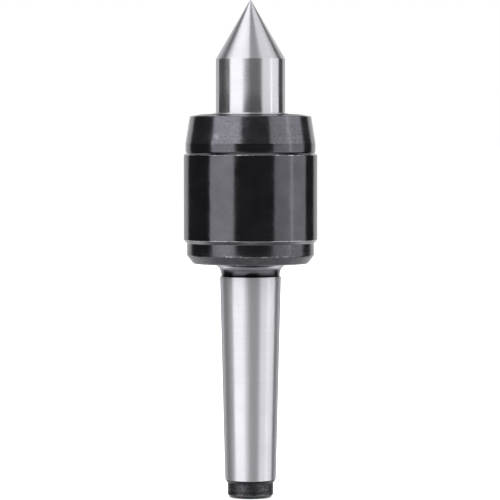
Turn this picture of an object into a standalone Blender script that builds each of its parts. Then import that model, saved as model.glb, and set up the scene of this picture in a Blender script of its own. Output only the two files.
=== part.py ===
"""Live centre on a No. 2 Morse taper, built as its separate pieces.

Metres, +Z along the axis towards the point. The origin is on the axis at the taper's
gauge plane, where the shank measures 17.780 mm across. Round pieces are profiles of
(radius, height) turned about Z.
"""

import math

import bmesh
import bpy
from mathutils import Matrix, Vector

MM = 0.001

# Fits: pressed or screwed pieces, and balls or needles on their tracks.
SEAT_GAP = 0.3 * MM
SHAFT_GAP = 0.2 * MM
ROLL_GAP = 0.1 * MM
POCKET_GAP = 0.18 * MM

# Shank, a No. 2 Morse taper with a turned tail instead of a tang.
GAUGE_R = 17.780 / 2 * MM
TAPER_PER_LENGTH = 0.04995 / 2
TAPER_TOP_Z = 5.0 * MM
TAPER_LOW_Z = -55.1 * MM
TAIL_R = 6.75 * MM
TAIL_TOP_Z = -56.05 * MM
TAIL_END_Z = -60.4 * MM
TAIL_CHAMFER = 0.9 * MM
CENTRE_HOLE_R = 3.0 * MM
CENTRE_PILOT_R = 1.25 * MM
CENTRE_PILOT_DEPTH = 6.5 * MM

# Neck and head of the housing.
NECK_R = 8.65 * MM
NECK_FILLET = 3.2 * MM
HEAD_BACK_Z = 8.75 * MM
HEAD_BACK_R = 16.85 * MM
REAR_RING_R = 18.8 * MM
REAR_RING_LOW_Z = 11.3 * MM
REAR_RING_TOP_Z = 14.8 * MM
HEAD_R = 19.85 * MM
HEAD_LOW_Z = 15.85 * MM
HEAD_TOP_Z = 41.2 * MM
HEAD_CHAMFER = 0.6 * MM

# Front cap.
CAP_LOW_Z = 41.5 * MM
CAP_R = 19.2 * MM
CAP_EDGE = 0.3 * MM
CAP_STRAIGHT_TOP_Z = 44.2 * MM
CAP_CROWN_R = 17.85 * MM
CAP_CROWN_Z = 52.35 * MM
CAP_TOP_Z = 52.95 * MM
CAP_WALL_LOW_Z = 47.8 * MM
CAP_THREAD_R = 17.2 * MM
CAP_INSIDE_R = 14.0 * MM

# Felt seal in its groove.
FELT_LOW_Z = 49.8 * MM
FELT_TOP_Z = 51.6 * MM
FELT_R = 13.3 * MM

# Spindle with its 60 degree point.
POINT_R = 10.175 * MM
POINT_BASE_Z = 69.1 * MM
POINT_HALF_ANGLE = math.radians(30.0)
POINT_FLAT_R = 0.08 * MM
SHOULDER_R = 11.1 * MM
SHOULDER_TOP_Z = 53.2 * MM
COLLAR_R = 13.0 * MM
COLLAR_TOP_Z = 47.5 * MM
COLLAR_LOW_Z = 43.0 * MM
LAND_R = 10.0 * MM
JOURNAL_LOW_Z = 18.8 * MM
TAIL_JOURNAL_R = 5.0 * MM
TAIL_JOURNAL_LOW_Z = 4.5 * MM
RELIEF_LOW_Z = 2.5 * MM
DRILL_HALF_ANGLE = math.radians(59.0)
SPINDLE_HOLE_R = 1.6 * MM
SPINDLE_CHAMFER = 0.4 * MM

# Front deep-groove ball bearing, 15 x 32 x 9.
FRONT_BORE_R = 7.5 * MM
FRONT_R = 16.0 * MM
FRONT_LOW_Z = 28.0 * MM
FRONT_WIDTH = 9.0 * MM
FRONT_PITCH_R = 11.75 * MM
FRONT_INNER_LAND_R = 10.25 * MM
FRONT_OUTER_LAND_R = 13.35 * MM
FRONT_BALLS = 9
FRONT_CAGE_INNER_R = 10.95 * MM
FRONT_CAGE_OUTER_R = 12.55 * MM
FRONT_CAGE_HALF_HEIGHT = 3.0 * MM
SHIELD_SEAT_R = 14.2 * MM
SHIELD_SHEET = 0.4 * MM
SHIELD_INSET = 0.5 * MM

# Balls of both ball bearings, 3/16 inch.
BALL_R = 4.762 / 2 * MM

# Shim between the front bearing and the thrust bearing.
SHIM_THICK = 0.5 * MM
SHIM_R = 10.2 * MM

# Thrust ball bearing, 15 x 28 x 9.
THRUST_HEIGHT = 9.0 * MM
THRUST_WASHER = 2.7 * MM
THRUST_SHAFT_BORE_R = 7.5 * MM
THRUST_HOUSING_BORE_R = 8.1 * MM
THRUST_R = 13.9 * MM
THRUST_PITCH_R = 10.75 * MM
THRUST_BALLS = 12
THRUST_CAGE_INNER_R = 7.7 * MM
THRUST_CAGE_OUTER_R = 13.8 * MM
THRUST_CAGE_HALF_HEIGHT = 0.9 * MM

# Rear drawn-cup needle bearing, 10 x 14 x 10.
CUP_R = 7.0 * MM
CUP_TRACK_R = 6.5 * MM
CUP_LIP_R = 5.35 * MM
CUP_LIP = 0.5 * MM
CUP_LENGTH = 10.0 * MM
NEEDLE_R = 0.68 * MM
NEEDLE_LENGTH = 7.8 * MM
NEEDLE_PITCH_R = 5.75 * MM
NEEDLES = 12
NEEDLE_CAGE_HALF_WALL = 0.3 * MM

# Sides of the turned pieces.
HEAD_SIDES = 48
RING_SIDES = 36
POCKET_SIDES = 16
NEEDLE_SIDES = 10

# Heights that follow from the fits, working down from the front bearing.
FRONT_TOP_Z = FRONT_LOW_Z + FRONT_WIDTH
FRONT_MID_Z = FRONT_LOW_Z + FRONT_WIDTH / 2
SPINDLE_SEAT_Z = FRONT_TOP_Z + SEAT_GAP
SHIM_LOW_Z = FRONT_LOW_Z - SEAT_GAP - SHIM_THICK
THRUST_TOP_Z = SHIM_LOW_Z - SEAT_GAP
THRUST_LOW_Z = THRUST_TOP_Z - THRUST_HEIGHT
THRUST_MID_Z = THRUST_TOP_Z - THRUST_HEIGHT / 2
THRUST_SEAT_Z = THRUST_LOW_Z - SEAT_GAP
CUP_TOP_Z = THRUST_SEAT_Z - SEAT_GAP
CUP_LOW_Z = CUP_TOP_Z - CUP_LENGTH
CUP_MID_Z = CUP_TOP_Z - CUP_LENGTH / 2

# Finishes as (colour, roughness, metallic).
BLACKENED_STEEL = ((0.012, 0.012, 0.014), 0.32, 0.6)
GROUND_STEEL = ((0.56, 0.56, 0.58), 0.3, 1.0)
BEARING_STEEL = ((0.62, 0.62, 0.63), 0.15, 1.0)
STAMPED_STEEL = ((0.42, 0.41, 0.4), 0.35, 1.0)
BRASS = ((0.6, 0.42, 0.16), 0.35, 1.0)
SPRING_STEEL = ((0.3, 0.3, 0.32), 0.3, 1.0)
GREY_FELT = ((0.22, 0.2, 0.17), 0.95, 0.0)


def clear_scene():
    for old in list(bpy.data.objects):
        bpy.data.objects.remove(old, do_unlink=True)


def finish(name, look):
    """A Principled material from (colour, roughness, metallic)."""
    colour, roughness, metallic = look
    material = bpy.data.materials.new(name)
    material.use_nodes = True
    material.diffuse_color = (*colour, 1.0)
    shader = material.node_tree.nodes["Principled BSDF"]
    shader.inputs["Base Color"].default_value = (*colour, 1.0)
    shader.inputs["Roughness"].default_value = roughness
    shader.inputs["Metallic"].default_value = metallic
    return material


def mesh_object(name, bm, look):
    """Turns a bmesh into a smooth-shaded object with its own material."""
    bmesh.ops.recalc_face_normals(bm, faces=bm.faces)
    mesh = bpy.data.meshes.new(name)
    bm.to_mesh(mesh)
    bm.free()
    mesh.shade_smooth()
    mesh.set_sharp_from_angle(angle=math.radians(30.0))
    mesh.materials.append(finish(name + "_finish", look))
    obj = bpy.data.objects.new(name, mesh)
    bpy.context.scene.collection.objects.link(obj)
    return obj


def arc(centre_r, centre_z, radius, start, end, steps):
    """Points of a circular arc in a profile, its angles in degrees from the +radius direction."""
    angles = [math.radians(start + (end - start) * i / steps) for i in range(steps + 1)]
    return [(centre_r + radius * math.cos(a), centre_z + radius * math.sin(a)) for a in angles]


def turned_bmesh(profile, sides):
    """Turns a profile about Z. A profile with its ends on the axis closes at its poles."""
    bm = bmesh.new()
    points = [bm.verts.new((radius, 0.0, height)) for radius, height in profile]
    edges = [bm.edges.new(pair) for pair in zip(points, points[1:])]
    if profile[0][0] > 0.0:
        edges.append(bm.edges.new((points[-1], points[0])))
    bmesh.ops.spin(
        bm,
        geom=points + edges,
        cent=(0.0, 0.0, 0.0),
        axis=(0.0, 0.0, 1.0),
        angle=math.tau,
        steps=sides,
        use_merge=True,
    )
    bmesh.ops.remove_doubles(bm, verts=bm.verts, dist=0.0001 * MM)
    return bm


def turned(name, profile, sides, look):
    return mesh_object(name, turned_bmesh(profile, sides), look)


def flat_ring(inner_r, outer_r, low_z, high_z):
    """The rectangular profile of a plain ring."""
    return [(inner_r, low_z), (outer_r, low_z), (outer_r, high_z), (inner_r, high_z)]


def taper_r(height):
    """The taper's radius at a height above its gauge plane."""
    return GAUGE_R + TAPER_PER_LENGTH * height


def angles_round(count):
    return [math.tau * i / count for i in range(count)]


def cutter(name, bm):
    """A hidden helper that Booleans subtract."""
    bmesh.ops.recalc_face_normals(bm, faces=bm.faces)
    mesh = bpy.data.meshes.new(name)
    bm.to_mesh(mesh)
    bm.free()
    obj = bpy.data.objects.new(name, mesh)
    obj.hide_render = True
    obj.display_type = "WIRE"
    bpy.context.scene.collection.objects.link(obj)
    return obj


def cut(obj, tool):
    modifier = obj.modifiers.new("pockets", "BOOLEAN")
    modifier.operation = "DIFFERENCE"
    modifier.solver = "EXACT"
    modifier.object = tool


def centre_marker(name, height):
    """An empty on the axis that a row of balls or needles is parented to."""
    marker = bpy.data.objects.new(name, None)
    marker.empty_display_size = BALL_R
    marker.location = (0.0, 0.0, height)
    bpy.context.scene.collection.objects.link(marker)
    return marker


def housing_outside():
    """Tail end to mouth, from the centre hole's rim outwards."""
    fillet_z = HEAD_BACK_Z - NECK_FILLET
    return [
        (CENTRE_HOLE_R, TAIL_END_Z),
        (TAIL_R - TAIL_CHAMFER, TAIL_END_Z),
        (TAIL_R, TAIL_END_Z + TAIL_CHAMFER),
        (TAIL_R, TAIL_TOP_Z),
        (taper_r(TAPER_LOW_Z), TAPER_LOW_Z),
        (taper_r(TAPER_TOP_Z), TAPER_TOP_Z),
        (NECK_R, TAPER_TOP_Z),
        *arc(NECK_R + NECK_FILLET, fillet_z, NECK_FILLET, 180.0, 90.0, 5),
        (HEAD_BACK_R, HEAD_BACK_Z),
        (REAR_RING_R, REAR_RING_LOW_Z),
        (REAR_RING_R, REAR_RING_TOP_Z),
        (HEAD_R, HEAD_LOW_Z),
        (HEAD_R, HEAD_TOP_Z - HEAD_CHAMFER),
        (HEAD_R - HEAD_CHAMFER, HEAD_TOP_Z),
    ]


def housing_bore():
    """Mouth to the drilled bottom, working down through the bearing seats."""
    front_seat_r = FRONT_R + SEAT_GAP
    thrust_seat_r = THRUST_R + SEAT_GAP
    cup_seat_r = CUP_R + SHAFT_GAP
    relief_r = TAIL_JOURNAL_R + SEAT_GAP
    drill_point = relief_r / math.tan(DRILL_HALF_ANGLE)
    return [
        (CAP_THREAD_R + SEAT_GAP, HEAD_TOP_Z),
        (CAP_THREAD_R + SEAT_GAP, FRONT_TOP_Z),
        (front_seat_r, FRONT_TOP_Z),
        (front_seat_r, FRONT_LOW_Z - SEAT_GAP),
        (thrust_seat_r, FRONT_LOW_Z - SEAT_GAP),
        (thrust_seat_r, THRUST_SEAT_Z),
        (cup_seat_r, THRUST_SEAT_Z),
        (cup_seat_r, CUP_LOW_Z - SEAT_GAP),
        (relief_r, CUP_LOW_Z - SEAT_GAP),
        (relief_r, RELIEF_LOW_Z),
        (0.0, RELIEF_LOW_Z - drill_point),
    ]


def tail_centre_hole():
    """From the axis out to the hole's rim, in the tail's end face."""
    cone = (CENTRE_HOLE_R - CENTRE_PILOT_R) / math.tan(POINT_HALF_ANGLE)
    return [
        (0.0, TAIL_END_Z + CENTRE_PILOT_DEPTH),
        (CENTRE_PILOT_R, TAIL_END_Z + CENTRE_PILOT_DEPTH),
        (CENTRE_PILOT_R, TAIL_END_Z + cone),
    ]


def make_housing():
    """Head, neck, taper and tail in one piece. The taper is left bright, the rest is blackened."""
    profile = tail_centre_hole() + housing_outside() + housing_bore()
    housing = turned("housing_shank", profile, HEAD_SIDES, BLACKENED_STEEL)
    housing.data.materials.append(finish("ground_taper_finish", GROUND_STEEL))
    bore_limit = TAIL_JOURNAL_R + SEAT_GAP + ROLL_GAP
    for face in housing.data.polygons:
        centre = face.center
        outside = Vector((centre.x, centre.y)).length > bore_limit
        if outside and TAPER_LOW_Z < centre.z < TAPER_TOP_Z:
            face.material_index = 1


def make_front_cap():
    """Screwed into the mouth: a skirt behind, a conical rim, and a front wall with the seal's groove."""
    bore_r = SHOULDER_R + SEAT_GAP
    groove_r = FELT_R + SEAT_GAP
    dome_mid_r = (CAP_CROWN_R + bore_r) / 2
    dome_mid_z = CAP_CROWN_Z + 0.7 * (CAP_TOP_Z - CAP_CROWN_Z)
    profile = [
        (CAP_INSIDE_R, SPINDLE_SEAT_Z),
        (CAP_THREAD_R - HEAD_CHAMFER, SPINDLE_SEAT_Z),
        (CAP_THREAD_R, SPINDLE_SEAT_Z + HEAD_CHAMFER),
        (CAP_THREAD_R, CAP_LOW_Z),
        (CAP_R - CAP_EDGE, CAP_LOW_Z),
        (CAP_R, CAP_LOW_Z + CAP_EDGE),
        (CAP_R, CAP_STRAIGHT_TOP_Z),
        (CAP_CROWN_R + CAP_EDGE / 2, CAP_CROWN_Z - CAP_EDGE),
        (CAP_CROWN_R - CAP_EDGE, CAP_CROWN_Z),
        (dome_mid_r, dome_mid_z),
        (bore_r, CAP_TOP_Z),
        (bore_r, FELT_TOP_Z + SHAFT_GAP),
        (groove_r, FELT_TOP_Z + SHAFT_GAP),
        (groove_r, FELT_LOW_Z - SHAFT_GAP),
        (bore_r, FELT_LOW_Z - SHAFT_GAP),
        (bore_r, CAP_WALL_LOW_Z),
        (CAP_INSIDE_R, CAP_WALL_LOW_Z),
    ]
    turned("front_cap", profile, HEAD_SIDES, BLACKENED_STEEL)


def make_felt_seal():
    profile = flat_ring(SHOULDER_R + SHAFT_GAP, FELT_R, FELT_LOW_Z, FELT_TOP_Z)
    turned("felt_seal", profile, RING_SIDES, GREY_FELT)


def make_spindle():
    """Ground point, shoulder, retaining collar, front journal and rear journal."""
    tip_z = POINT_BASE_Z + (POINT_R - POINT_FLAT_R) / math.tan(POINT_HALF_ANGLE)
    journal_r = FRONT_BORE_R - SHAFT_GAP
    profile = [
        (0.0, TAIL_JOURNAL_LOW_Z + SPINDLE_HOLE_R / math.tan(POINT_HALF_ANGLE)),
        (SPINDLE_HOLE_R, TAIL_JOURNAL_LOW_Z),
        (TAIL_JOURNAL_R - SPINDLE_CHAMFER, TAIL_JOURNAL_LOW_Z),
        (TAIL_JOURNAL_R, TAIL_JOURNAL_LOW_Z + SPINDLE_CHAMFER),
        (TAIL_JOURNAL_R, JOURNAL_LOW_Z - SPINDLE_CHAMFER),
        (journal_r - SPINDLE_CHAMFER, JOURNAL_LOW_Z),
        (journal_r, JOURNAL_LOW_Z + SPINDLE_CHAMFER),
        (journal_r, SPINDLE_SEAT_Z),
        (LAND_R, SPINDLE_SEAT_Z),
        (LAND_R, COLLAR_LOW_Z),
        (COLLAR_R, COLLAR_LOW_Z),
        (COLLAR_R, COLLAR_TOP_Z),
        (SHOULDER_R, COLLAR_TOP_Z),
        (SHOULDER_R, SHOULDER_TOP_Z - SPINDLE_CHAMFER / 2),
        (SHOULDER_R - SPINDLE_CHAMFER / 2, SHOULDER_TOP_Z),
        (POINT_R, SHOULDER_TOP_Z),
        (POINT_R, POINT_BASE_Z),
        (POINT_FLAT_R, tip_z),
        (0.0, tip_z),
    ]
    turned("spindle", profile, RING_SIDES, GROUND_STEEL)


def front_groove(land_r, steps):
    """The ball track of a front ring, from its lower edge to its upper edge."""
    track_r = BALL_R + ROLL_GAP
    half = math.degrees(math.acos(abs(FRONT_PITCH_R - land_r) / track_r))
    facing = 180.0 if land_r < FRONT_PITCH_R else 360.0
    rising = -1.0 if land_r < FRONT_PITCH_R else 1.0
    start = facing - rising * half
    return arc(FRONT_PITCH_R, FRONT_MID_Z, track_r, start, facing + rising * half, steps)


def make_front_inner_ring():
    edge = SPINDLE_CHAMFER
    profile = [
        (FRONT_BORE_R, FRONT_LOW_Z + edge),
        (FRONT_BORE_R + edge, FRONT_LOW_Z),
        (FRONT_INNER_LAND_R, FRONT_LOW_Z),
        *front_groove(FRONT_INNER_LAND_R, 6),
        (FRONT_INNER_LAND_R, FRONT_TOP_Z),
        (FRONT_BORE_R + edge, FRONT_TOP_Z),
        (FRONT_BORE_R, FRONT_TOP_Z - edge),
    ]
    turned("front_inner_ring", profile, RING_SIDES, BEARING_STEEL)


def make_front_outer_ring():
    edge = SPINDLE_CHAMFER
    seat_depth = SHIELD_INSET + SHIELD_SHEET + SHAFT_GAP
    upward = [
        (FRONT_R - edge, FRONT_LOW_Z),
        (FRONT_R, FRONT_LOW_Z + edge),
        (FRONT_R, FRONT_TOP_Z - edge),
        (FRONT_R - edge, FRONT_TOP_Z),
    ]
    downward = [
        (SHIELD_SEAT_R, FRONT_TOP_Z),
        (SHIELD_SEAT_R, FRONT_TOP_Z - seat_depth),
        (FRONT_OUTER_LAND_R, FRONT_TOP_Z - seat_depth),
        *reversed(front_groove(FRONT_OUTER_LAND_R, 6)),
        (FRONT_OUTER_LAND_R, FRONT_LOW_Z + seat_depth),
        (SHIELD_SEAT_R, FRONT_LOW_Z + seat_depth),
        (SHIELD_SEAT_R, FRONT_LOW_Z),
    ]
    turned("front_outer_ring", upward + downward, HEAD_SIDES, BEARING_STEEL)


def make_shield(name, outer_z, inward):
    """A sheet ring pressed into the outer ring; inward is the direction from its face to the balls."""
    near = outer_z + inward * SHIELD_INSET
    far = near + inward * SHIELD_SHEET
    inner_r = FRONT_INNER_LAND_R + SHAFT_GAP
    outer_r = SHIELD_SEAT_R - SHAFT_GAP
    profile = flat_ring(inner_r, outer_r, min(near, far), max(near, far))
    turned(name, profile, RING_SIDES, STAMPED_STEEL)


def pocket_tools(name, count, shape_at):
    """One helper holding a copy of a cutting shape for each ball or needle."""
    tools = bmesh.new()
    for angle in angles_round(count):
        shape_at(tools, angle)
    return cutter(name, tools)


def make_front_cage():
    """A ring between the lands with a radial hole for each ball."""
    pocket_r = BALL_R + POCKET_GAP
    low_z = FRONT_MID_Z - FRONT_CAGE_HALF_HEIGHT
    high_z = FRONT_MID_Z + FRONT_CAGE_HALF_HEIGHT
    profile = flat_ring(FRONT_CAGE_INNER_R, FRONT_CAGE_OUTER_R, low_z, high_z)
    cage = turned("front_cage", profile, RING_SIDES, STAMPED_STEEL)

    def radial_hole(tools, angle):
        place = (
            Matrix.Rotation(angle, 4, "Z")
            @ Matrix.Translation((FRONT_PITCH_R, 0.0, FRONT_MID_Z))
            @ Matrix.Rotation(math.radians(90.0), 4, "Y")
        )
        bmesh.ops.create_cone(
            tools,
            cap_ends=True,
            segments=POCKET_SIDES,
            radius1=pocket_r,
            radius2=pocket_r,
            depth=2 * BALL_R,
            matrix=place,
        )

    cut(cage, pocket_tools("front_pockets", FRONT_BALLS, radial_hole))


def make_ball_mesh(name):
    """A ball, as a subdivided icosahedron."""
    bm = bmesh.new()
    bmesh.ops.create_icosphere(bm, subdivisions=2, radius=BALL_R)
    mesh = bpy.data.meshes.new(name)
    bm.to_mesh(mesh)
    bm.free()
    mesh.shade_smooth()
    mesh.materials.append(finish(name + "_finish", BEARING_STEEL))
    return mesh


def place_rolling(prefix, mesh, centre, count, pitch_r):
    """Rolling elements round an empty, each with its origin at its centre and its X axis outwards."""
    for number, angle in enumerate(angles_round(count), start=1):
        rolling = bpy.data.objects.new(f"{prefix}_{number}", mesh)
        rolling.parent = centre
        rolling.location = (pitch_r * math.cos(angle), pitch_r * math.sin(angle), 0.0)
        rolling.rotation_euler = (0.0, 0.0, angle)
        bpy.context.scene.collection.objects.link(rolling)


def make_shim():
    profile = flat_ring(FRONT_BORE_R, SHIM_R, SHIM_LOW_Z, SHIM_LOW_Z + SHIM_THICK)
    turned("thrust_shim", profile, RING_SIDES, SPRING_STEEL)


def make_thrust_washer(name, bore_r, flat_z, towards_balls):
    """A grooved washer; towards_balls is +1 for the lower washer and -1 for the upper one."""
    face_z = flat_z + towards_balls * THRUST_WASHER
    track_r = BALL_R + ROLL_GAP
    half = math.degrees(math.acos(abs(THRUST_MID_Z - face_z) / track_r))
    facing = -90.0 * towards_balls
    start, end = facing + half * towards_balls, facing - half * towards_balls
    profile = [
        (bore_r, flat_z),
        (THRUST_R, flat_z),
        (THRUST_R, face_z),
        *arc(THRUST_PITCH_R, THRUST_MID_Z, track_r, start, end, 5),
        (bore_r, face_z),
    ]
    turned(name, profile, RING_SIDES, BEARING_STEEL)


def make_thrust_cage():
    """A flat ring with a hole through it for each ball."""
    pocket_r = BALL_R + POCKET_GAP
    low_z = THRUST_MID_Z - THRUST_CAGE_HALF_HEIGHT
    high_z = THRUST_MID_Z + THRUST_CAGE_HALF_HEIGHT
    profile = flat_ring(THRUST_CAGE_INNER_R, THRUST_CAGE_OUTER_R, low_z, high_z)
    cage = turned("thrust_cage", profile, RING_SIDES, BRASS)

    def axial_hole(tools, angle):
        place = Matrix.Rotation(angle, 4, "Z") @ Matrix.Translation(
            (THRUST_PITCH_R, 0.0, THRUST_MID_Z)
        )
        bmesh.ops.create_cone(
            tools,
            cap_ends=True,
            segments=POCKET_SIDES,
            radius1=pocket_r,
            radius2=pocket_r,
            depth=2 * BALL_R,
            matrix=place,
        )

    cut(cage, pocket_tools("thrust_pockets", THRUST_BALLS, axial_hole))


def make_needle_cup():
    """A drawn cup whose ends are turned in as lips."""
    profile = [
        (CUP_LIP_R, CUP_LOW_Z),
        (CUP_R, CUP_LOW_Z),
        (CUP_R, CUP_TOP_Z),
        (CUP_LIP_R, CUP_TOP_Z),
        (CUP_LIP_R, CUP_TOP_Z - CUP_LIP),
        (CUP_TRACK_R, CUP_TOP_Z - CUP_LIP),
        (CUP_TRACK_R, CUP_LOW_Z + CUP_LIP),
        (CUP_LIP_R, CUP_LOW_Z + CUP_LIP),
    ]
    turned("needle_cup", profile, RING_SIDES, STAMPED_STEEL)


def make_needle_cage():
    """A thin ring with a slot for each needle."""
    half_height = CUP_LENGTH / 2 - CUP_LIP - SHAFT_GAP
    inner_r = NEEDLE_PITCH_R - NEEDLE_CAGE_HALF_WALL
    outer_r = NEEDLE_PITCH_R + NEEDLE_CAGE_HALF_WALL
    profile = flat_ring(inner_r, outer_r, CUP_MID_Z - half_height, CUP_MID_Z + half_height)
    slot_size = (outer_r - inner_r + 2 * ROLL_GAP, 2 * (NEEDLE_R + ROLL_GAP), NEEDLE_LENGTH + SHAFT_GAP)
    cage = turned("needle_cage", profile, RING_SIDES, STAMPED_STEEL)

    def slot(tools, angle):
        place = (
            Matrix.Rotation(angle, 4, "Z")
            @ Matrix.Translation((NEEDLE_PITCH_R, 0.0, CUP_MID_Z))
            @ Matrix.Diagonal((*slot_size, 1.0))
        )
        bmesh.ops.create_cube(tools, size=1.0, matrix=place)

    cut(cage, pocket_tools("needle_slots", NEEDLES, slot))


def make_needle_mesh():
    """A needle roller standing on Z, its ends slightly chamfered."""
    half = NEEDLE_LENGTH / 2
    edge = NEEDLE_R / 4
    profile = [
        (0.0, -half),
        (NEEDLE_R - edge, -half),
        (NEEDLE_R, edge - half),
        (NEEDLE_R, half - edge),
        (NEEDLE_R - edge, half),
        (0.0, half),
    ]
    bm = turned_bmesh(profile, NEEDLE_SIDES)
    bmesh.ops.recalc_face_normals(bm, faces=bm.faces)
    mesh = bpy.data.meshes.new("needle")
    bm.to_mesh(mesh)
    bm.free()
    mesh.shade_smooth()
    mesh.set_sharp_from_angle(angle=math.radians(40.0))
    mesh.materials.append(finish("needle_finish", BEARING_STEEL))
    return mesh


def make_front_bearing():
    make_front_inner_ring()
    make_front_outer_ring()
    make_shield("front_shield_upper", FRONT_TOP_Z, -1.0)
    make_shield("front_shield_lower", FRONT_LOW_Z, 1.0)
    make_front_cage()
    centre = centre_marker("front_ball_row", FRONT_MID_Z)
    place_rolling("front_ball", make_ball_mesh("front_ball"), centre, FRONT_BALLS, FRONT_PITCH_R)


def make_thrust_bearing():
    make_thrust_washer("thrust_shaft_washer", THRUST_SHAFT_BORE_R, THRUST_TOP_Z, -1.0)
    make_thrust_washer("thrust_housing_washer", THRUST_HOUSING_BORE_R, THRUST_LOW_Z, 1.0)
    make_thrust_cage()
    centre = centre_marker("thrust_ball_row", THRUST_MID_Z)
    place_rolling("thrust_ball", make_ball_mesh("thrust_ball"), centre, THRUST_BALLS, THRUST_PITCH_R)


def make_needle_bearing():
    make_needle_cup()
    make_needle_cage()
    centre = centre_marker("needle_row", CUP_MID_Z)
    place_rolling("needle", make_needle_mesh(), centre, NEEDLES, NEEDLE_PITCH_R)


clear_scene()
make_housing()
make_front_cap()
make_felt_seal()
make_spindle()
make_front_bearing()
make_shim()
make_thrust_bearing()
make_needle_bearing()
bpy.context.view_layer.update()
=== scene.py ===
import math

import bpy
import numpy as np
from mathutils import Matrix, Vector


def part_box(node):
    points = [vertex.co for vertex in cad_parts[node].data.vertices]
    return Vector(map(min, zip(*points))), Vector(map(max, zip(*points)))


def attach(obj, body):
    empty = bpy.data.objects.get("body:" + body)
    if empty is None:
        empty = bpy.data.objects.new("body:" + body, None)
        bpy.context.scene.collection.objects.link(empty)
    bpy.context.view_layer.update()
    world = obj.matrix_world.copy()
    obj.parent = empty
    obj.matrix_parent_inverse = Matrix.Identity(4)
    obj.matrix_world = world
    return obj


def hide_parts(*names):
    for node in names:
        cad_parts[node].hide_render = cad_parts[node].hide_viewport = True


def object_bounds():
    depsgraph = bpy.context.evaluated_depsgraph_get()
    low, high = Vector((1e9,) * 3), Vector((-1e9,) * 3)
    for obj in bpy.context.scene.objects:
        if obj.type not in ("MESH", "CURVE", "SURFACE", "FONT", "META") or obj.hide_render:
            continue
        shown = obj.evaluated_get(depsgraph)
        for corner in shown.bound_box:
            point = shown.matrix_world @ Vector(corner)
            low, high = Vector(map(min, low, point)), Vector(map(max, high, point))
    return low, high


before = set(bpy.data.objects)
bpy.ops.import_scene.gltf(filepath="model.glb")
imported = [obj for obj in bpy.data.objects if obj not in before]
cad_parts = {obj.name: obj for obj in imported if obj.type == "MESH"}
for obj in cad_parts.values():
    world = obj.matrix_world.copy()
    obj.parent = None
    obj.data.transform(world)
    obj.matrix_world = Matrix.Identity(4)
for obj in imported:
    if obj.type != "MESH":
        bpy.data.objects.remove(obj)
cad_low, cad_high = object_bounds()
MM = 0.001


# ---------------------------------------------------------------- camera
# A long lens at the height of the front cap looks level across the centre, a little downwards,
# with the tail just above the lower edge of the frame and the point just under the upper one.
view_height = 147.75 * MM
camera_distance = 900.0 * MM
camera_x = -0.15 * MM
camera_z = 45.0 * MM
aim_z = (cad_low.z + cad_high.z) / 2 - 0.3 * MM

camera_data = bpy.data.cameras.new("camera")
camera = bpy.data.objects.new("camera", camera_data)
bpy.context.scene.collection.objects.link(camera)
bpy.context.scene.camera = camera
camera_pitch = math.atan2(camera_z - aim_z, camera_distance)
aim_distance = math.hypot(camera_distance, camera_z - aim_z)
camera_data.lens = camera_data.sensor_width * aim_distance / view_height
camera_data.clip_start = 0.05
camera_data.clip_end = 50.0
camera.location = (camera_x, -camera_distance, camera_z)
camera.rotation_euler = (math.radians(90.0) - camera_pitch, 0.0, 0.0)
bpy.context.scene.view_settings.view_transform = "Standard"


# ---------------------------------------------------------------- studio
# A white sweep and a pale floor. Two tall soft boxes stand left and right of the lens, with dark
# boards between and beside them; they are painted into the surrounding light by direction. The
# floor is lit from below as well, like a light table, so that hardly any shadow lies on it.
def node(tree, kind, inputs=None, **settings):
    """Adds a node. Inputs are values or the sockets of other nodes; settings are its properties."""
    made = tree.nodes.new(kind)
    for key, value in settings.items():
        setattr(made, key, value)
    for socket, value in (inputs or {}).items():
        if isinstance(value, bpy.types.NodeSocket):
            tree.links.new(value, made.inputs[socket])
        else:
            made.inputs[socket].default_value = value
    return made


def maths(tree, operation, a, b=0.0, clamp=False):
    """One step of arithmetic on values or sockets."""
    return node(tree, "ShaderNodeMath", {0: a, 1: b}, operation=operation, use_clamp=clamp).outputs[0]


def between(tree, value, low, high):
    """0 below low and 1 above high, smooth between them."""
    inputs = {"Value": value, "From Min": low, "From Max": high}
    return node(tree, "ShaderNodeMapRange", inputs, interpolation_type="SMOOTHSTEP").outputs["Result"]


def mixed(tree, factor, a, b):
    """a where the factor is 0, b where it is 1."""
    return node(tree, "ShaderNodeMix", {0: factor, 2: a, 3: b}, data_type="FLOAT").outputs[0]


def light_ramp(tree, value, low, high, stops):
    """Brightness against a value from low to high, straight between the stops of (value, brightness)."""
    share = maths(tree, "DIVIDE", maths(tree, "SUBTRACT", value, low), high - low)
    ramp = node(tree, "ShaderNodeValToRGB", {0: share})
    elements = ramp.color_ramp.elements
    for _ in stops[2:]:
        elements.new(0.5)
    for element, (place, brightness) in zip(elements, stops):
        element.position = (place - low) / (high - low)
        element.color = (brightness / 2, brightness / 2, brightness / 2, 1.0)
    return maths(tree, "MULTIPLY", ramp.outputs["Color"], 2.0)


# Brightness round the object, by the angle in degrees from the lens, positive to its right.
level_light = (
    (-180.0, 0.85), (-136.0, 0.85), (-132.0, 0.065), (-75.0, 0.065), (-72.0, 1.3), (-31.0, 1.3),
    (-28.0, 0.075), (40.5, 0.075), (43.5, 0.82), (71.0, 0.88), (74.0, 1.6), (76.0, 1.6), (79.0, 0.96),
    (107.5, 1.0), (110.5, 0.065), (136.0, 0.065), (140.0, 0.85), (180.0, 0.85),
)
raised_light = (
    (-180.0, 0.12), (-150.0, 0.3), (-129.0, 0.8), (-125.0, 0.05), (-106.0, 0.05), (-96.0, 1.45),
    (-12.0, 1.4), (0.0, 0.3), (36.0, 0.25), (48.0, 0.92), (112.0, 0.95), (117.0, 0.05),
    (134.0, 0.05), (140.0, 0.8), (150.0, 0.3), (180.0, 0.12),
)
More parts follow.
